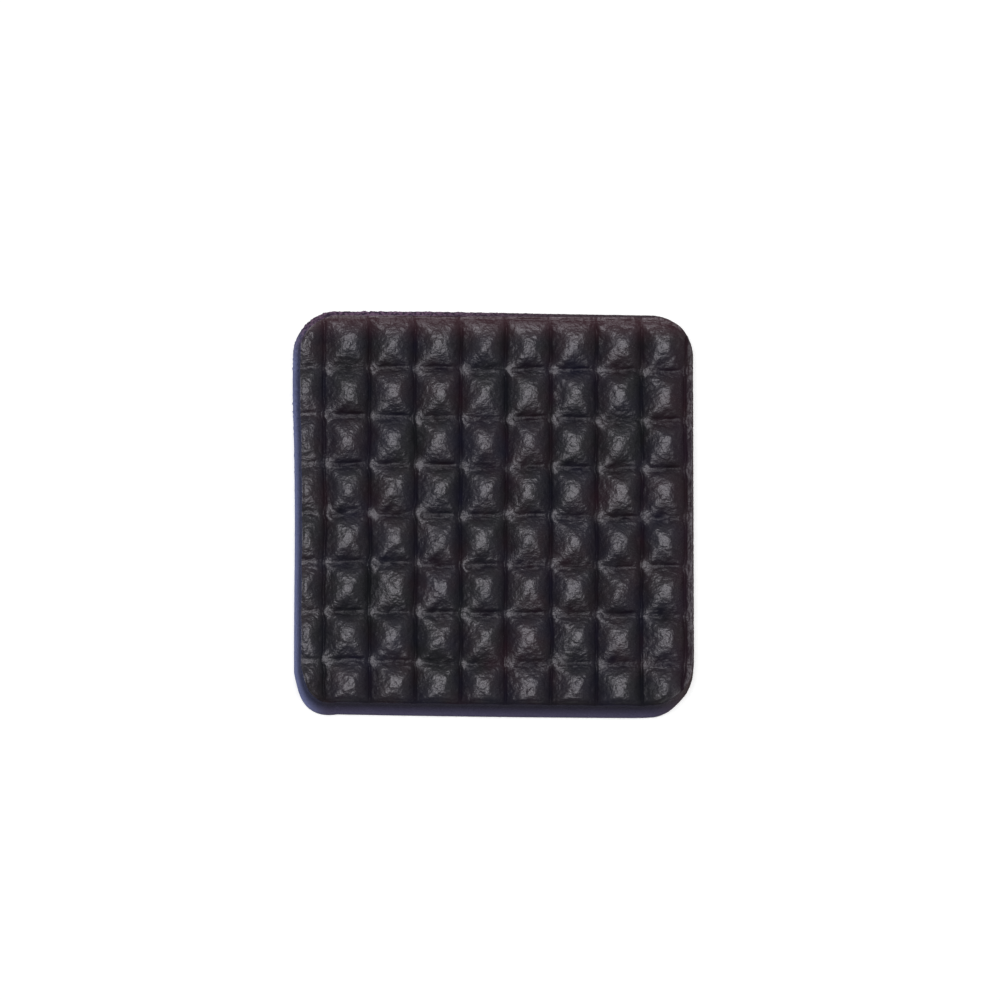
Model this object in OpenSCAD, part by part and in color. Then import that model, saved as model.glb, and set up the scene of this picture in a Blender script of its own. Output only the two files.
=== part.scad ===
// Square bumper pad: one piece of black rubber mat, die-cut to a square with round corners.
// The upper face is embossed with rows of four-sided studs, and the underside is flat.
// Millimetres, +Z up. The origin is the centre of the underside.
// +X is across the pad, and +Y is from its front edge to its back edge.

/* [Outline] */
// Width of the base across the pad
pad_w = 25.2; // [20:0.1:40]
// Length of the base from front to back
pad_l = 25.6; // [20:0.1:40]
// Radius of the base's corners
corner_r = 2.7; // [1.5:0.1:6]

/* [Height] */
// Thickness of the mat, from the underside to the tops of the studs
pad_h = 2.5; // [2:0.1:4]

/* [Studs] */
// Distance between the grooves that run from front to back
pitch_x = 2.85; // [2.4:0.01:4]
// Distance between the grooves that run across the pad
pitch_y = 3.09; // [2.4:0.01:4]
// Depth of the grooves that run from front to back
depth_x = 0.8; // [0.3:0.05:1]
// Depth of the grooves that run across the pad
depth_y = 0.6; // [0.3:0.05:0.8]
// Width of the flat on top of a stud, across the pad
top_x = 0.34; // [0.1:0.02:0.8]
// Length of the flat on top of a stud, from front to back
top_y = 0.66; // [0.1:0.02:0.9]
// Width of a groove's flat floor
floor_w = 0.1; // [0.06:0.02:0.3]
// Radius that rounds a stud's top into its slopes
crown_r = 0.55; // [0.2:0.05:0.8]
// Distance from the left edge of the base to the first front-to-back groove
first_x = 1.7; // [1.2:0.01:2.4]
// Distance from the back edge of the base to the first groove across the pad
first_y = 0.57; // [0.4:0.01:1]

/* [Cut edge] */
// How far the base stands out past the face, where the blade let the rubber spread
flare = 0.45; // [0.3:0.05:0.8]
// Height of the base's upright outer edge
foot_h = 0.12; // [0.06:0.02:0.3]
// Radius that rounds the top of that edge
foot_r = 0.1; // [0.04:0.02:0.2]
// Height of the crease that the blade leaves below the face
crease_z = 1.42; // [1.1:0.02:1.5]
// Depth of the crease
crease_d = 0.06; // [0.02:0.01:0.15]
// Width of the band in which the face rolls down to the cut
roll_w = 0.22; // [0.1:0.02:0.4]
// Height of that roll
roll_h = 0.45; // [0.2:0.05:0.7]

/* [Hidden] */
$fn = 96;

// How far the profiles run past what they cut, so that no two faces coincide
past = 1;
// Steps in the curves of the cut edge, and in the round at a stud's shoulder
foot_steps = 3;
flare_steps = 5;
roll_steps = 4;
crown_steps = 3;
// Half the height of the crease's mouth
crease_half = 0.1;
// How far the blank leans in above the stud tops
lean = 0.3;

// Section through the cut edge, from the underside up, as [distance inside the base, height]
flare_z = foot_h + foot_r;
flare_top = crease_z - crease_half;
edge_section = concat(
    [[0, 0]],
    // the foot's upright edge and its round top
    [for (i = [0 : foot_steps])
        let (a = 90 * i / foot_steps)
        [foot_r * (1 - cos(a)), foot_h + foot_r * sin(a)]],
    // the spread rubber, a parabola that ends upright below the crease
    [for (i = [1 : flare_steps])
        let (t = i / flare_steps)
        [foot_r + (flare - foot_r) * t * (2 - t), flare_z + (flare_top - flare_z) * t]],
    [[flare + crease_d, crease_z], [flare, crease_z + crease_half]],
    // the face's edge, a quarter of an ellipse
    [for (i = [0 : roll_steps])
        let (a = 90 * i / roll_steps)
        [flare + roll_w * (1 - cos(a)), pad_h - roll_h + roll_h * sin(a)]],
    [[flare + roll_w + lean, pad_h + past]]
);

// The section of a whole slab of the given width, with the cut edge on both sides
module slab_section(width) {
    right = [for (p = edge_section) [width / 2 - p[0], p[1]]];
    left = [for (i = [len(right) - 1 : -1 : 0]) [-right[i][0], right[i][1]]];
    polygon(concat(right, left));
}

// A slab that runs along Y with its cut edges on the left and right
module slab(width, length) {
    rotate([90, 0, 0])
        linear_extrude(length, center = true) slab_section(width);
}

// The round corner, a disc with the same cut edge
module corner_disc() {
    rotate_extrude()
        polygon(concat([[0, 0]],
                       [for (p = edge_section) [corner_r - p[0], p[1]]],
                       [[0, pad_h + past]]));
}

// The die-cut square before its face is embossed
module blank() {
    slab(pad_w, pad_l - 2 * corner_r);
    rotate(90) slab(pad_l, pad_w - 2 * corner_r);
    for (x = [-1, 1], y = [-1, 1])
        translate([x * (pad_w / 2 - corner_r), y * (pad_l / 2 - corner_r), 0])
            corner_disc();
}

// The angle of a straight slope from which an arc of radius r turns level at run and rise
function slope_angle(run, rise, r) =
    atan2(rise - r, run) + asin(r / norm([run, rise - r]));

// Half of a stud's profile, from the groove's floor up to the flat top, as
// [distance from the middle of the groove, height]. Its slope is straight, and an arc of
// crown_r rounds it into the top.
function half_stud(pitch, depth, top) =
    let (run = (pitch - top - floor_w) / 2,
         steepest = slope_angle(run, depth, crown_r))
    concat([[floor_w / 2, pad_h - depth]],
           [for (i = [crown_steps : -1 : 0])
               let (a = steepest * i / crown_steps)
               [floor_w / 2 + run - crown_r * sin(a), pad_h - crown_r * (1 - cos(a))]]);

// A ridged slab along Y: count studs side by side along X, the first groove's middle at start
module ridges(start, count, pitch, depth, top, length) {
    up = half_stud(pitch, depth, top);
    down = [for (i = [len(up) - 1 : -1 : 0]) [pitch - up[i][0], up[i][1]]];
    profile = [for (k = [0 : count - 1], p = concat(up, down)) [start + k * pitch + p[0], p[1]]];
    rotate([90, 0, 0])
        linear_extrude(length, center = true)
            polygon(concat(profile, [[start + count * pitch, -past], [start, -past]]));
}

module bumper_pad() {
    columns = ceil((pad_w - first_x) / pitch_x) + 1;
    rows = ceil((pad_l - first_y) / pitch_y) + 1;
    color([0.20, 0.19, 0.21])
        intersection() {
            blank();
            // grooves from front to back, from the part column at the left edge
            ridges(first_x - pad_w / 2 - pitch_x, columns, pitch_x, depth_x, top_x, pad_l + 2 * past);
            // grooves across the pad, from the back edge to the front
            rotate(-90)
                ridges(first_y - pad_l / 2 - pitch_y, rows, pitch_y, depth_y, top_y, pad_w + 2 * past);
        }
}

bumper_pad();
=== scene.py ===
"""The looks of a square rubber bumper pad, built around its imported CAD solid."""

import math

import bmesh
import bpy
import numpy as np
from mathutils import Matrix, Vector, noise


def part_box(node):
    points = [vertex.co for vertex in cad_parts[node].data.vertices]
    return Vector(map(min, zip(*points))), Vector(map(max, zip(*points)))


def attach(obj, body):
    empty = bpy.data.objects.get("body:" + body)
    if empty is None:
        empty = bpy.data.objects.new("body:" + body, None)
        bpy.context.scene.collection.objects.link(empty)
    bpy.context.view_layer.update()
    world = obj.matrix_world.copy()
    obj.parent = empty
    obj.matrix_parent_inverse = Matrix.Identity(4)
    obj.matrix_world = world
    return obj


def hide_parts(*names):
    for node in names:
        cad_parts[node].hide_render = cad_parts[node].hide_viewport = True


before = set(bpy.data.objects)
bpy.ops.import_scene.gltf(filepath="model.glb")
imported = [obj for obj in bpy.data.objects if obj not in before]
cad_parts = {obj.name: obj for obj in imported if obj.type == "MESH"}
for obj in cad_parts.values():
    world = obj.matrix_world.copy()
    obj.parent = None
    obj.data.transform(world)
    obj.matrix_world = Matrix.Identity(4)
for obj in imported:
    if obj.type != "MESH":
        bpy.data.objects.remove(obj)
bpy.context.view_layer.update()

# ---------------------------------------------------------------------------------------------
# The pad: one square of dense foam rubber mat, its face embossed by a heated roller with rows
# of four-sided studs. A blade cut it out, which rounded the face over at the edge and left the
# rubber spread into a foot all round. It is stuck or laid on its flat underside.
# ---------------------------------------------------------------------------------------------
MM = 0.001
base_low, base_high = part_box("bumper_pad")
half_w = (base_high.x - base_low.x) / 2 / MM
half_l = (base_high.y - base_low.y) / 2 / MM
pad_h = base_high.z / MM
corner_r = 2.7

# The studs, in millimetres, with x to the right and y to the back. The grooves from front to
# back are the deeper ones. The first grooves are measured from the left and back sides.
pitch_x, pitch_y = 2.85, 3.09
depth_x, depth_y = 0.75, 0.64
groove_x = 1.75 - half_w
groove_y = half_l - 0.81
studs_turn = math.radians(-0.21)
tops_z = pad_h - 0.01

# No two studs are alike. Each value is drawn for a board of studs that is larger than the pad.
board = 16
rng = np.random.default_rng(41)


def each_stud(least, most):
    """A value between the two for every stud of the board."""
    return rng.uniform(least, most, (board, board))


top_off_x = each_stud(-0.12, 0.12)
top_off_y = each_stud(-0.17, 0.17)
top_low = each_stud(-0.01, 0.10)
lean = each_stud(-0.05, 0.23)
tip_x = each_stud(-0.07, 0.07)
tip_y = each_stud(-0.07, 0.07)
slit_deep = each_stud(0.0, 0.05)
bead_high = each_stud(0.0, 0.014)
ledge_dark = each_stud(0.86, 1.0)
bridge_high = each_stud(-0.09, 0.08)
bridge_off = each_stud(-0.12, 0.12)
bridge_wide = each_stud(0.30, 0.48)


def field(x, y, size, layer):
    """Smooth noise from about -1 to 1 at each place, with lumps of the given size."""
    to_one = 1.6
    return np.array([noise.noise((u / size, v / size, layer)) for u, v in zip(x, y)]) * to_one


def wander(x, y, waves):
    """The sum of some fields, each given as its height, the size of its lumps and its layer."""
    return sum(high * field(x, y, size, layer) for high, size, layer in waves)


def hump(off, wide):
    """1 where off is 0, sinking to nothing about two widths away."""
    return np.exp(-((off / wide) ** 2))


def rise(value, start, reach):
    """0 up to start, and then straight up to 1 within the given reach."""
    return np.clip((value - start) / reach, 0, 1)


def grid_lines(half, groove, pitch, count):
    """count + 1 places from -half to half, closest together along the grooves."""
    crowding, crowd_wide = 1.2, 0.24
    fine = np.linspace(-half, half, 6001)
    off = (fine - groove + pitch / 2) % pitch - pitch / 2
    reach = np.cumsum(1 + crowding * hump(off, crowd_wide))
    reach = (reach - reach[0]) / (reach[-1] - reach[0])
    return np.interp(np.linspace(0, 1, count + 1), reach, fine)


def fall(share, rounding):
    """0 at a stud's top and 1 at the groove: rounded at the top and straight below."""
    share = np.clip(share, 0, 1)
    return (np.hypot(share, rounding) - rounding) / (np.hypot(1, rounding) - rounding)


# How the rows stray: waves of a height, a size and a layer each, the last studs at the right
# pressed together, and each groove across slumped to the front and sagging between its ends
stray_x = ((0.055, 4.2, 1.5), (0.034, 0.9, 2.5))
stray_y = ((0.055, 4.2, 8.5), (0.030, 0.9, 9.5), (0.020, 0.45, 6.5))
pressed, pressed_from, pressed_reach = 0.10, half_w - 1.6, 1.0
slump = 0.030
sag_deep, sag_wide, sag_lag = 0.034, 0.6, 0.3

# A stud's top is a little right and in front of its middle. Its flanks are rounded at the top,
# the back one most, and the grooves' own bottoms are rounded too.
top_right, top_front = 0.15, 0.05
round_left, round_right, round_front, round_back = 0.36, 0.31, 0.26, 0.78
bottom_round, bottom_reach = 0.13, 0.8
ridge_round = 0.088

# The slit just behind each groove across, the bead just in front of it, and the score that the
# roller left along the deep grooves
slit_at, slit_wide = 0.22, 0.12
bead_at, bead_wide = -0.22, 0.07
score_deep, score_wide = 0.03, 0.07

# A bridge of rubber closes the left end of each groove across, beside the deep groove
bridge_at, bridge_slant, slant_reach = 0.20, 0.30, 0.9
bridge_back, bridge_long = 0.04, 0.70
bridge_z, bridge_slope, bridge_drop = -0.52, 0.12, 0.15
bridge_floor, bridge_round = -3, 0.04
# painted shade along the seam where a bridge joins the flank beside it
seam_shade_dark, seam_up, seam_wide, seam_reach = 0.97, 0.04, 0.11, 0.12

# The cut freed the back and left sides, which sprang up a little
back_from, back_reach = half_l - 1.7, 1.1
left_from, left_reach, left_share = half_w - 2.2, 1.2, 0.55
spring_share = 0.42
skin_waves = ((0.034, 0.9, 3.3), (0.020, 0.38, 5.1))

# The shade in the grooves across: how dark it is, where it is deepest, how wide it is in front
# of there and behind, and two more dark spots, as darkness, place and width across, then along.
# At the left the foot of the flank in front lies bare of it.
shade_dark, shade_at, shade_front, shade_back = 0.54, 0.12, 0.42, 0.75
shade_spots = ((0.30, 1.0, 0.5, 0.45, 0.3), (0.15, 1.6, 0.5, 0.85, 0.25))
shade_waves = ((0.35, 0.6, 7.7),)
bare, bare_at, bare_wide = 0.40, 0.85, 0.45
bare_from, bare_reach = -0.1, 0.2

# The painted shade along the deep grooves, darkest in a line down their bottom
deep_dark, deep_at, deep_wide = 0.58, 0.16, 0.55
line_dark, line_at, line_wide = 1.25, 0.03, 0.16
line_lost_back, line_lost_left = 0.6, 0.4

# The painted shade in the slit is darker where the slit is deeper and in its middle. The painted
# shade on the ledge in the groove's bottom is lighter in spots near its ends, as lightness, place and
# width.
slit_dark, slit_full, slit_ends = 0.60, 0.085, 0.4
slit_mid, slit_long = 1.85, 0.8
slit_shade_at, slit_shade_wide = 0.25, 0.15
ledge_at, ledge_wide = 0.05, 0.18
ledge_spots = ((0.22, 2.5, 0.5), (0.25, 0.85, 0.45))
ledge_waves = ((0.12, 0.5, 4.7),)

# Each stud's front left corner and the bridges stand out of the shade
corner_bright, corner_off, corner_wide = 0.6, 0.12, 0.26
corner_at, corner_long, corner_rise = 0.6, 0.45, 0.2
bridge_shade, bridge_clear = 0.20, 1.7
darkest = 1.6


def embossed(x, y):
    """Height of the face above the underside at each place, and how much in shade it lies."""
    turn_c, turn_s = math.cos(studs_turn), math.sin(studs_turn)
    u, v = turn_c * x + turn_s * y, turn_c * y - turn_s * x
    u = u + wander(u, v, stray_x)
    u = u + pressed * rise(x, pressed_from, pressed_reach)
    v = v + wander(u, v, stray_y)
    v = v + slump * (1 + np.cos(2 * np.pi * (v - groove_y) / pitch_y))
    to_groove = (v - groove_y + pitch_y / 2) % pitch_y - pitch_y / 2
    hanging = 1 + np.sin(2 * np.pi * (u - groove_x) / pitch_x - sag_lag)
    sag = sag_deep * hanging * hump(to_groove, sag_wide)
    v = v + sag
    column = np.floor((u - groove_x) / pitch_x)
    row = np.floor((v - groove_y) / pitch_y)
    a = u - groove_x - column * pitch_x
    b = v - groove_y - row * pitch_y
    stud = (column.astype(int) % board, row.astype(int) % board)
    # the crossing in front of each stud and left of it belongs to it, and so does the groove
    # in front of it
    beyond = b > pitch_y / 2
    mid = np.where(beyond, b - pitch_y, b)
    cross = (stud[0], np.where(beyond, stud[1] + 1, stud[1]) % board)
    beside = np.where(a > pitch_x / 2, a - pitch_x, a)
    # each stud leans, and its top sits a little off its middle
    leaning = lean[stud] * np.sin(2 * np.pi * b / pitch_y)
    top_a = pitch_x / 2 + top_right + top_off_x[stud] - leaning
    top_b = pitch_y / 2 - top_front + top_off_y[stud]
    share = np.where(a < top_a, (top_a - a) / top_a, (a - top_a) / (pitch_x - top_a))
    across = -depth_x * fall(share, np.where(a < top_a, round_left, round_right))
    low_down = hump(mid, bottom_reach)
    near = np.hypot(mid, bottom_round) * low_down + abs(mid) * (1 - low_down)
    soft_b = np.where(beyond, pitch_y - near, near)
    share = np.where(b < top_b, (top_b - soft_b) / top_b, (soft_b - top_b) / (pitch_y - top_b))
    along = -depth_y * fall(share, np.where(b < top_b, round_front, round_back))
    along = along - slit_deep[cross] * hump(mid - slit_at, slit_wide)
    along = along + bead_high[cross] * hump(mid - bead_at, bead_wide)
    across = across - score_deep * hump(beside, score_wide)
    # the flanks meet in rounded ridges
    z = ridge_round * math.log(2)
    z = z - ridge_round * np.logaddexp(-across / ridge_round, -along / ridge_round)
    inner = np.sin(np.pi * a / pitch_x) * np.sin(np.pi * b / pitch_y)
    tip = tip_x[stud] * (a - pitch_x / 2) + tip_y[stud] * (b - pitch_y / 2)
    z = z + (tip - top_low[stud]) * inner
    # the bridge, and painted shade along the seam where it joins the flank beside it
    joint = (np.where(a > pitch_x / 2, stud[0] + 1, stud[0]) % board, cross[1])
    aslant = beside - bridge_at + bridge_slant * np.clip(mid, -slant_reach, 0)
    lengthwise = mid - sag - bridge_back + bridge_off[joint]
    q = (aslant / bridge_wide[joint]) ** 2 + (lengthwise / bridge_long) ** 2
    bridge = bridge_z + bridge_high[joint] - bridge_slope * q - bridge_drop * q * q
    seam_shade = seam_shade_dark * hump(z - bridge - seam_up, seam_wide) * (1 - rise(beside, 0, seam_reach))
    z = bridge_round * np.logaddexp(z / bridge_round, np.maximum(bridge, bridge_floor) / bridge_round)
    at_back = rise(y, back_from, back_reach)
    at_left = left_share * rise(-x, left_from, left_reach)
    z = z * (1 - spring_share * np.maximum(at_back, at_left))
    z = z + wander(x, y, skin_waves)
    # how much painted shade lies down in the grooves
    shade = shade_dark * hump(mid - shade_at, np.where(mid > shade_at, shade_back, shade_front))
    for dark, at_a, wide_a, at_mid, wide_mid in shade_spots:
        shade = shade + dark * hump(a - at_a, wide_a) * hump(mid - at_mid, wide_mid)
    shade = shade * (1 - bare * hump(a - bare_at, bare_wide) * rise(-mid, bare_from, bare_reach))
    hollow = np.maximum(deep_dark * hump(beside - deep_at, deep_wide), shade)
    hollow = hollow * (1 + wander(x, y, shade_waves))
    slit = slit_dark + slit_deep[cross] / slit_full
    slit = slit * (slit_ends + (1 - slit_ends) * hump(a - slit_mid, slit_long))
    hollow = np.maximum(hollow, slit * hump(mid - slit_shade_at, slit_shade_wide))
    lighter = sum(light * hump(a - at_a, wide_a) for light, at_a, wide_a in ledge_spots)
    ledge = ledge_dark[cross] * (1 - lighter) * (1 + wander(x, y, ledge_waves))
    hollow = np.maximum(hollow, ledge * hump(mid - ledge_at, ledge_wide))
    corner = hump(mid - beside + corner_off, corner_wide) * rise(mid, 0, corner_rise)
    corner = corner * hump(mid - corner_at, corner_long)
    hollow = hollow * (1 - corner_bright * corner) * (1 - at_left)
    deep_line = np.clip(line_dark * hump(beside - line_at, line_wide), 0, 1)
    hollow = np.maximum(hollow, deep_line)
    hollow = hollow * (1 - line_lost_back * at_back) * (1 - line_lost_left * at_left)
    hollow = np.maximum(hollow * (1 - np.exp(-bridge_clear * q)), bridge_shade * np.exp(-q))
    return tops_z + z, np.clip(np.maximum(hollow, seam_shade), 0, darkest)


# How far the cut face stays inside the base, at the sides, at the front and in the middle of
# the back, where it grows to the left
flare_side, flare_front, flare_back = 0.33, 0.60, 0.61
flare_growth = 0.0105

# The face is a grid with rounded corners. Each place on it is found from its stem, within the
# middles of the four corner arcs, and its way from there to the cut, as a share of the reach.
core_x, core_y = half_w - corner_r, half_l - corner_r
reach_x, reach_y = corner_r - flare_side, corner_r - flare_front
columns, rows = 278, 280
xs = grid_lines(core_x + reach_x, groove_x, pitch_x, columns)
ys = grid_lines(core_y + reach_y, groove_y, pitch_y, rows)

bm = bmesh.new()
bmesh.ops.create_grid(bm, x_segments=columns, y_segments=rows, size=1)
grid_i = np.array([round((v.co.x + 1) / 2 * columns) for v in bm.verts])
grid_j = np.array([round((v.co.y + 1) / 2 * rows) for v in bm.verts])
grid_x, grid_y = xs[grid_i], ys[grid_j]
# a corner's square of the grid is drawn in to a quarter of an ellipse
square_x = rise(abs(grid_x), core_x, reach_x)
square_y = rise(abs(grid_y), core_y, reach_y)
way_x = square_x * np.sqrt(1 - square_y * square_y / 2) * np.sign(grid_x)
way_y = square_y * np.sqrt(1 - square_x * square_x / 2) * np.sign(grid_y)
stem_x = np.clip(grid_x, -core_x, core_x)
stem_y = np.clip(grid_y, -core_y, core_y)

# It was cut by hand, so no two corners are alike: each is pushed out and skewed by a little
corner_push = {(-1, -1): 0.19, (1, -1): -0.26, (-1, 1): -0.06, (1, 1): 0.04}
corner_skew = {(-1, -1): -0.11, (1, -1): 0.0, (-1, 1): 0.0, (1, 1): 0.0}
never_nought = 1e-9
span = np.hypot(way_x, way_y) + never_nought
diagonal = (2 * way_x * way_y / span ** 2) ** 2
turned = 4 * abs(way_x * way_y) * (way_x ** 2 - way_y ** 2) / span ** 4
quarters = [(int(p), int(q)) for p, q in np.sign(np.stack([way_x, way_y], 1))]
push = np.array([corner_push.get(quarter, 0) for quarter in quarters])
skew = np.array([corner_skew.get(quarter, 0) for quarter in quarters])
longer = 1 + (push * diagonal + skew * turned) / corner_r

# The sides are a little uneven too: each has a start, a slope and a bow, and swells of a
# height, a place and a width each
sides = {
    "left": ((0, 0, 0), ((0.085, 8, 2.8), (-0.05, -0.8, 4.5))),
    "right": ((0.005, 0.004, 0), ((-0.11, -10.7, 0.9),)),
    "front": ((0.010, 0.0045, -0.0004), ((-0.07, 10.5, 0.9),)),
    "back": ((0, -0.0035, 0), ((-0.05, -9.5, 2.2), (0.02, -2, 3.5))),
}


def side_out(side, place):
    """How far out a side stands at each place along it."""
    (start, slope, bow), swells = sides[side]
    swell = sum(high * hump(place - middle, wide) for high, middle, wide in swells)
    return start + slope * place + bow * place * place + swell


uneven_x = np.where(way_x < 0, side_out("left", grid_y), side_out("right", grid_y)) / corner_r
uneven_y = np.where(way_y < 0, side_out("front", grid_x), side_out("back", grid_x)) / corner_r
z, hollow = embossed(stem_x + way_x * reach_x, stem_y + way_y * reach_y)
out = np.hypot(way_x, way_y)
way_x = way_x * (longer + uneven_x)
way_y = way_y * (longer + uneven_y)
x = stem_x + way_x * reach_x
y = stem_y + way_y * reach_y

# The face rolls down to the cut, least at the left and where it lies low already. At the back
# and right the blade left a thin flat lip. The gap is how far a place is from the cut, and it
# is 1 all over the stem.
gap = (1 - out) * np.where(out > 0, reach_x, 1)
leftward = np.clip(-way_x, 0, 1) ** 2
roll_w = 0.45 - 0.36 * leftward
roll_h = 0.30 - 0.25 * leftward
lip_flat = 0.32
roll = np.clip(1 - gap / roll_w, 0, 1)
roll = np.minimum(roll, 1 - lip_flat * np.clip(way_x + way_y, 0, 1))
low_z, low_reach, least_roll = 1.6, 0.6, 0.25
z = z - roll_h * (1 - np.sqrt(1 - roll * roll)) * np.clip((z - low_z) / low_reach, least_roll, 1)

# Painted shade takes the sheen off the rolled edge at the front, and off the strips along the back
# and right sides, which keep their sheen on the lip
front_dark, back_dark, right_dark = 0.92, 0.62, 0.58
front_fade, back_fade, right_fade = 0.38, 0.22, 0.25
front_edge_shade = front_dark * np.clip(-way_y, 0, 1) ** 2 * np.clip(1.5 - gap / front_fade, 0, 1)
back_strip_shade = back_dark * rise(y, half_l - 1.3, 0.35) * np.clip(0.05 + gap / back_fade, 0, 1)
right_strip_shade = right_dark * rise(x, half_w - 1.9, 0.6) * np.clip(0.35 + gap / right_fade, 0, 1)
hollow = np.maximum(np.maximum(hollow, front_edge_shade), back_strip_shade + right_strip_shade)

# each place keeps its stem, its way to the cut, and how much shade is painted on it
stem = bm.verts.layers.float_vector.new("stem")
way = bm.verts.layers.float_vector.new("way")
painted_shade = bm.verts.layers.float.new("painted_shade")
for k, vert in enumerate(bm.verts):
    vert.co = (x[k], y[k], z[k])
    vert[stem] = (stem_x[k], stem_y[k], z[k])
    vert[way] = (way_x[k], way_y[k], 0)
    vert[painted_shade] = hollow[k]
skin_slot, cut_slot, under_slot = 0, 1, 2
for face in bm.faces:
    face.material_index = skin_slot
    face.smooth = True

# The cut edge, ring by ring from the face's edge down to the underside. Each ring is given as
# how far it is set in past the flare, its share of the flare, its height, and its share of the
# height of the face's edge, which is added to that.
crease_z = 1.50
crease_h = 0.12
foot_h, foot_r = 0.12, 0.10
rings = [
    (-0.03, 1.0, -0.002, 1.0),
    (-0.055, 1.0, -0.01, 1.0),
    (-0.045, 1.0, -0.05, 1.0),
    (0.03, 1.0, -0.14, 1.0),
    (0.07, 1.0, crease_z, 0.0),
    (0.02, 1.0, crease_z - crease_h, 0.0),
]
wall_rings = 5
wall_low, wall_high = foot_h + foot_r, crease_z - 0.2
wall_share = 0.25
for step in range(wall_rings):
    up = 1 - (step + 0.5) / wall_rings
    wall_in = wall_share + (1 - wall_share) * up * (2 - up)
    rings.append((0.0, wall_in, wall_low + (wall_high - wall_low) * up, 0.0))
rings += [
    (0.0, 0.22, wall_low, 0.0),
    (0.0, 0.07, foot_h + 0.07, 0.0),
    (0.0, 0.0, foot_h, 0.0),
    (0.0, 0.0, 0.02, 0.0),
    (0.03, 0.0, 0.0, 0.0),
]

# The blade tore the foam below the lip: a granular edge, roughest at the back left corner
torn_least, torn_more = 0.012, 0.05
torn_from, torn_reach = 9, 12
torn_above = 0.05
crumb_coarse, crumb_fine = 5, 11

edges = [e for e in bm.edges if e.is_boundary]
for ring, (extra, share, height, own) in enumerate(rings):
    made = bmesh.ops.extrude_edge_only(bm, edges=edges)["geom"]
    edges = [part for part in made if isinstance(part, bmesh.types.BMEdge)]
    for face in [part for part in made if isinstance(part, bmesh.types.BMFace)]:
        face.material_index = skin_slot if ring < 1 else cut_slot
        face.smooth = ring > 1
    for vert in [part for part in made if isinstance(part, bmesh.types.BMVert)]:
        start, toward_cut = vert[stem], vert[way]
        end = flare_back - flare_growth * vert.co.x if toward_cut.y > 0 else flare_front
        vert.co.x = start.x + toward_cut.x * (corner_r - flare_side * share - extra)
        vert.co.y = start.y + toward_cut.y * (corner_r - end * share - extra)
        vert.co.z = height + own * start.z
        if height > torn_above:
            back_left = float(rise(vert.co.y - vert.co.x, torn_from, torn_reach))
            rough = noise.noise(vert.co * crumb_coarse) + noise.noise(vert.co * crumb_fine)
            torn = (torn_least + torn_more * back_left) * rough
            vert.co.x += toward_cut.x * torn
            vert.co.y += toward_cut.y * torn
last_ring = [e for e in edges if e.is_boundary]
for face in bmesh.ops.edgeloop_fill(bm, edges=last_ring)["faces"]:
    face.material_index = under_slot
    face.smooth = False
bmesh.ops.recalc_face_normals(bm, faces=bm.faces)
bmesh.ops.scale(bm, vec=(MM, MM, MM), verts=bm.verts)
pad_mesh = bpy.data.meshes.new("studded_pad")
bm.to_mesh(pad_mesh)
bm.free()
pad = bpy.data.objects.new("studded_pad", pad_mesh)
bpy.context.scene.collection.objects.link(pad)


def new_material(name):
    """A material, its node tree and its plain shader."""
    material = bpy.data.materials.new(name)
    material.use_nodes = True
    return material, material.node_tree, material.node_tree.nodes["Principled BSDF"]


def node(tree, kind, values=None, **settings):
    """Add a node, with a plain value or another node's output on each input that is named."""
    made = tree.nodes.new(kind)
    for name, setting in settings.items():
        setattr(made, name, setting)
    for name, value in (values or {}).items():
        if isinstance(value, bpy.types.NodeSocket):
            tree.links.new(value, made.inputs[name])
        else:
            made.inputs[name].default_value = value
    return made


def lumps(tree, place, scale, detail, **more):
    """Cloudy noise of so many lumps to the metre, with its other inputs by their names."""
    values = {"Vector": place, "Scale": scale, "Detail": detail, **more}
    dimensions = "4D" if "W" in more else "3D"
    return node(tree, "ShaderNodeTexNoise", values, noise_dimensions=dimensions).outputs["Fac"]


def figure(tree, operation, *values):
    """Work out a figure from plain values and other nodes' outputs."""
    return node(tree, "ShaderNodeMath", dict(enumerate(values)), operation=operation).outputs[0]


def relief(tree, shader, height, deep, strength=1.0):
    """Give a surface fine relief, so deep in millimetres."""
    values = {"Height": height, "Strength": strength, "Distance": deep * MM}
    bump = node(tree, "ShaderNodeBump", values)
    tree.links.new(bump.outputs["Normal"], shader.inputs["Normal"])


def spread(tree, value, low, high, to_low=0.0, to_high=1.0, easing="LINEAR"):
    """Turn a value between low and high into one between to_low and to_high."""
    values = {"Value": value, "From Min": low, "From Max": high, "To Min": to_low, "To Max": to_high}
    made = node(tree, "ShaderNodeMapRange", values, interpolation_type=easing)
    return made.outputs["Result"]


def eased(tree, value, low, high, to_high=1.0):
    """The same from places in millimetres, starting and ending gently."""
    return spread(tree, value, low * MM, high * MM, 0.0, to_high, "SMOOTHSTEP")


def blend_colour(tree, factor, first, second):
    """Mix two colours, each a plain colour or a node's output."""
    values = {"Factor": factor, "A": first, "B": second}
    for socket, colour in (("A", first), ("B", second)):
        if isinstance(colour, tuple):
            values[socket] = (*colour, 1)
    return node(tree, "ShaderNodeMix", values, data_type="RGBA").outputs["Result"]


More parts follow.
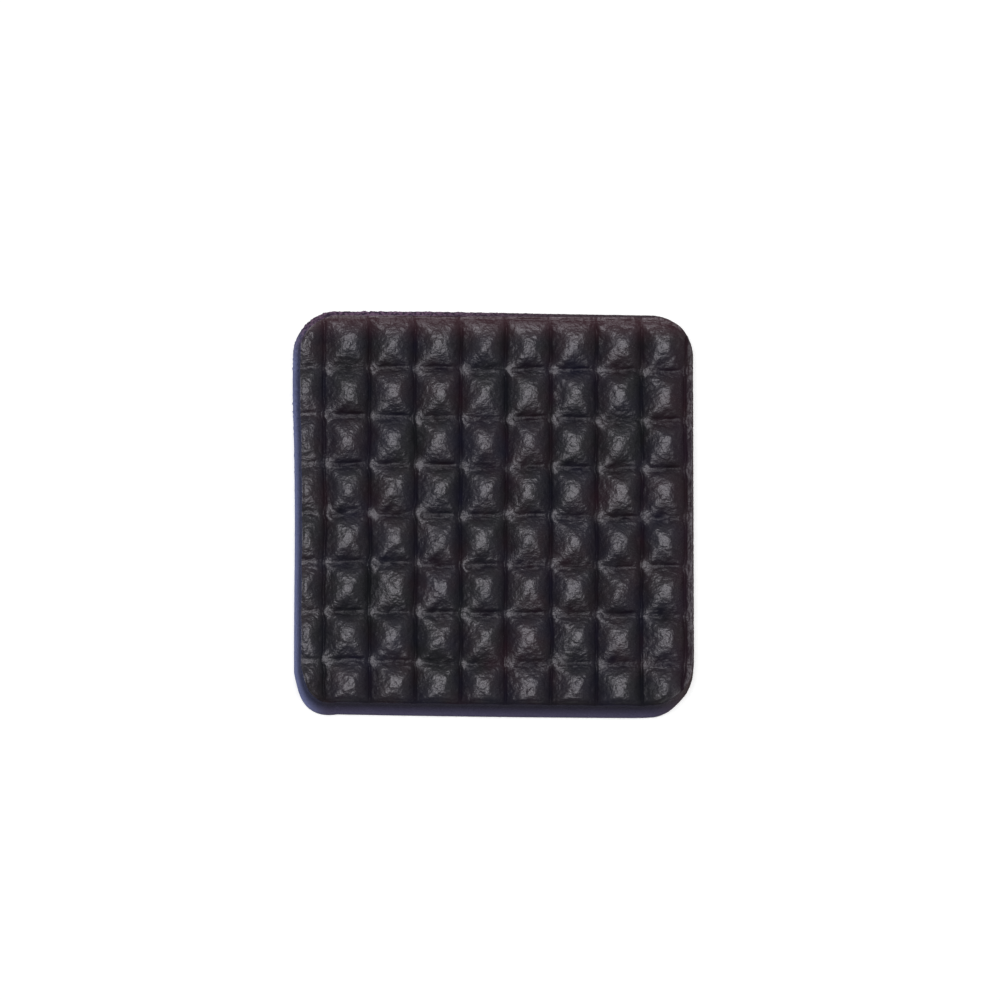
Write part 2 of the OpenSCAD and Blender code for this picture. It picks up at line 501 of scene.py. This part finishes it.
# The embossed skin is near black, in neutral, warm and cool patches, with painted warm light
# along the back and right sides. The heat gave it a soft sheen, which painted shade takes off in the
# grooves.
skin, skin_tree, skin_shader = new_material("embossed_skin")
on_skin = node(skin_tree, "ShaderNodeTexCoord").outputs["Object"]
skin_place = node(skin_tree, "ShaderNodeSeparateXYZ", {0: on_skin}).outputs
warmth = spread(skin_tree, lumps(skin_tree, on_skin, 340, 4), 0.40, 0.72)
neutral = blend_colour(skin_tree, warmth, (0.0097, 0.0101, 0.0120), (0.0192, 0.0093, 0.0142))
coolness = spread(skin_tree, lumps(skin_tree, on_skin, 380, 4, W=3.0), 0.42, 0.68)
patched = blend_colour(skin_tree, coolness, neutral, (0.0100, 0.0094, 0.0182))
# painted warm light along the back and right sides
near_back = eased(skin_tree, skin_place["Y"], half_l - 2.4, half_l - 0.6)
near_right = eased(skin_tree, skin_place["X"], half_w - 2.6, half_w - 0.2, 0.36)
near_edge = figure(skin_tree, "MAXIMUM", near_back, near_right)
warm_lit = blend_colour(skin_tree, near_edge, patched, (0.0440, 0.0190, 0.0250))
# fine grain, and wrinkles that are a little longer across than along
grain = lumps(skin_tree, on_skin, 4200, 2)
stretch = node(skin_tree, "ShaderNodeMapping", {"Vector": on_skin, "Scale": (2500, 3300, 3000)})
wrinkles = lumps(skin_tree, stretch.outputs["Vector"], 1, 3, Roughness=0.58)
relief(skin_tree, skin_shader, figure(skin_tree, "MULTIPLY_ADD", grain, 0.8, wrinkles), 0.064)
# the shade up to 1 takes off the sheen, and past 1 the colour too
shaded = node(skin_tree, "ShaderNodeAttribute", attribute_name="painted_shade").outputs["Fac"]
sheen = spread(skin_tree, shaded, 0, 1, 0.74, 0.0)
skin_tree.links.new(sheen, skin_shader.inputs["Specular IOR Level"])
deepest = spread(skin_tree, shaded, 1, darkest)
skin_colour = blend_colour(skin_tree, deepest, warm_lit, (0.0, 0.0, 0.0))
skin_tree.links.new(skin_colour, skin_shader.inputs["Base Color"])
skin_shader.inputs["Specular Tint"].default_value = (0.965, 0.93, 1.0, 1)
skin_shader.inputs["Roughness"].default_value = 0.445
skin_shader.inputs["IOR"].default_value = 1.5

# The cut foam shows its cells. Painted bluish light colours it, lightest low down at the left, and
# painted warm light colours the right. At the front it is painted lighter low down, at the back it is
# torn and grainy with purple speckle, and painted shade darkens the crease under the lip.
cut, cut_tree, cut_shader = new_material("cut_foam")
on_cut = node(cut_tree, "ShaderNodeTexCoord").outputs["Object"]
cut_x, cut_y, cut_z = node(cut_tree, "ShaderNodeSeparateXYZ", {0: on_cut}).outputs
cells = node(cut_tree, "ShaderNodeTexVoronoi", {"Vector": on_cut, "Scale": 7000})
relief(cut_tree, cut_shader, cells.outputs["Distance"], 0.06, 0.6)
# the left side: painted bluish light, lightest low down
side_up = eased(cut_tree, cut_z, 0.05, 0.95)
side = blend_colour(cut_tree, side_up, (0.196, 0.222, 0.420), (0.034, 0.040, 0.096))
# the front: painted light, lighter low down and darker up under the lip
front_up = eased(cut_tree, cut_z, 0.12, 1.00)
front = blend_colour(cut_tree, front_up, (0.076, 0.067, 0.122), (0.022, 0.019, 0.036))
speckle = spread(cut_tree, lumps(cut_tree, on_cut, 4500, 3), 0.40, 0.60)
torn_left = blend_colour(cut_tree, speckle, (0.034, 0.022, 0.042), (0.160, 0.096, 0.156))
torn_right = blend_colour(cut_tree, speckle, (0.040, 0.028, 0.036), (0.075, 0.052, 0.064))
back_edge = blend_colour(cut_tree, eased(cut_tree, cut_x, -6.0, 6.0), torn_left, torn_right)
# the right side: painted warm light
right_warm_light = (0.062, 0.044, 0.048)
off_left = eased(cut_tree, cut_x, 0.2 - half_w, 2.2 - half_w)
foam = blend_colour(cut_tree, off_left, side, front)
foam = blend_colour(cut_tree, eased(cut_tree, cut_y, half_l - 3.5, half_l - 0.6), foam, back_edge)
foam = blend_colour(cut_tree, eased(cut_tree, cut_x, half_w - 3.0, half_w - 0.3), foam, right_warm_light)
# painted shade in the crease under the lip
above_crease = figure(cut_tree, "SUBTRACT", cut_z, (crease_z + crease_h) * MM)
from_crease = figure(cut_tree, "ABSOLUTE", above_crease)
out_of_crease = spread(cut_tree, from_crease, 0.0, 0.30 * MM)
foam = blend_colour(cut_tree, out_of_crease, (0.018, 0.016, 0.022), foam)
cut_tree.links.new(foam, cut_shader.inputs["Base Color"])
cut_shader.inputs["Roughness"].default_value = 0.85
cut_shader.inputs["Specular IOR Level"].default_value = 0.15

# The underside is the mat's plain flat back
underside, _, underside_shader = new_material("flat_underside")
underside_shader.inputs["Base Color"].default_value = (0.02, 0.019, 0.021, 1)
underside_shader.inputs["Roughness"].default_value = 0.6

for material in (skin, cut, underside):
    pad_mesh.materials.append(material)

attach(pad, "root")
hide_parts("bumper_pad")

# ---------------------------------------------------------------------------------------------
# The floor: a wide disc of pale matt paper that the pad lies on, turned up at its rim. It takes
# the pad's shadow, and away from the pad it is plain white to the camera.
# ---------------------------------------------------------------------------------------------
floor_r, rim_r, rim_h, rim_steps = 0.8, 0.18, 0.20, 8
bm = bmesh.new()
bmesh.ops.create_circle(bm, segments=96, radius=floor_r, cap_ends=True)
rim = [e for e in bm.edges if e.is_boundary]
for step in range(1, rim_steps + 1):
    bend = step / rim_steps * math.pi / 2
    radius, height = floor_r + rim_r * math.sin(bend), rim_h * (1 - math.cos(bend))
    made = bmesh.ops.extrude_edge_only(bm, edges=rim)["geom"]
    rim = [part for part in made if isinstance(part, bmesh.types.BMEdge)]
    for vert in [part for part in made if isinstance(part, bmesh.types.BMVert)]:
        flat = Vector((vert.co.x, vert.co.y)).normalized() * radius
        vert.co = (flat.x, flat.y, height)
# a hair under the pad, so that the two don't lie in one plane
bmesh.ops.translate(bm, vec=(0, 0, -0.02 * MM), verts=bm.verts)
bmesh.ops.recalc_face_normals(bm, faces=bm.faces)
for face in bm.faces:
    face.smooth = len(face.verts) == 4
floor_mesh = bpy.data.meshes.new("floor")
bm.to_mesh(floor_mesh)
bm.free()
floor = bpy.data.objects.new("floor", floor_mesh)
bpy.context.scene.collection.objects.link(floor)

paper = bpy.data.materials.new("paper")
paper.use_nodes = True
paper_tree = paper.node_tree
paper_tree.nodes.clear()
on_paper = node(paper_tree, "ShaderNodeTexCoord").outputs["Object"]
how_far = node(paper_tree, "ShaderNodeVectorMath", {0: on_paper}, operation="LENGTH").outputs["Value"]
glow_near, glow_far = 0.34, 1.0
white = spread(paper_tree, how_far, 0.06, 0.50, glow_near, glow_far, "SMOOTHSTEP")
seen_by = node(paper_tree, "ShaderNodeLightPath").outputs
by_camera = figure(paper_tree, "MULTIPLY", seen_by["Is Camera Ray"], white)
strength = figure(paper_tree, "MULTIPLY_ADD", seen_by["Is Glossy Ray"], glow_near, by_camera)
glow = node(paper_tree, "ShaderNodeEmission", {"Color": (1, 1, 1, 1), "Strength": strength})
matt = node(paper_tree, "ShaderNodeBsdfDiffuse", {"Color": (0.8, 0.8, 0.8, 1)})
both = node(paper_tree, "ShaderNodeAddShader", {0: matt.outputs[0], 1: glow.outputs[0]})
node(paper_tree, "ShaderNodeOutputMaterial", {"Surface": both.outputs[0]})
floor_mesh.materials.append(paper)

# ---------------------------------------------------------------------------------------------
# The light: one square softbox almost straight above, a little behind the pad and to its left,
# in a faint white room.
# ---------------------------------------------------------------------------------------------
key_tilt, key_from = math.radians(5), math.radians(115)
key_away, key_side, key_power = 0.95, 0.55, 7.9
key_data = bpy.data.lights.new("softbox", "AREA")
key_data.shape = "SQUARE"
key_data.size = key_side
key_data.energy = key_power
key = bpy.data.objects.new("softbox", key_data)
aside = Vector((math.cos(key_from), math.sin(key_from), 0))
to_key = aside * math.sin(key_tilt) + Vector((0, 0, math.cos(key_tilt)))
key.location = to_key * key_away
key.rotation_mode = "QUATERNION"
key.rotation_quaternion = to_key.to_track_quat("Z", "Y")
bpy.context.scene.collection.objects.link(key)

room = bpy.data.worlds.new("studio")
bpy.context.scene.world = room
room.use_nodes = True
room_light = room.node_tree.nodes["Background"].inputs
room_light["Color"].default_value = (1, 1, 1, 1)
room_light["Strength"].default_value = 0.10

# ---------------------------------------------------------------------------------------------
# The camera: a long lens half a metre above the pad, a little in front of it and to its left,
# turned by a fifth of a degree. The pad stands a little off the middle of the image.
# ---------------------------------------------------------------------------------------------
tilt_x, tilt_y = math.radians(5.58), math.radians(8.20)
camera_turn = math.radians(0.212)
camera_away = 0.495
image_px, px_per_mm = 1000, 15.92
pad_px_x, pad_px_y = 494.1, 514.3
back_way = Vector((-math.tan(tilt_x), -math.tan(tilt_y), 1)).normalized()
back_way.rotate(Matrix.Rotation(-camera_turn, 3, "Z"))
up_way = Vector((math.sin(camera_turn), math.cos(camera_turn), 0))
right_way = up_way.cross(back_way).normalized()
above_way = back_way.cross(right_way)
off_middle = right_way * (image_px / 2 - pad_px_x) + above_way * (pad_px_y - image_px / 2)
target = off_middle / px_per_mm * MM
camera_data = bpy.data.cameras.new("camera")
camera_data.sensor_width = 36
camera_data.lens = px_per_mm / MM * camera_away / image_px * camera_data.sensor_width
camera_data.clip_start = 0.01
camera_data.clip_end = 5
camera = bpy.data.objects.new("camera", camera_data)
turned_to = Matrix((right_way, above_way, back_way)).transposed().to_4x4()
camera.matrix_world = Matrix.Translation(target + back_way * camera_away) @ turned_to
bpy.context.scene.collection.objects.link(camera)
bpy.context.scene.camera = camera
bpy.context.scene.view_settings.view_transform = "Standard"
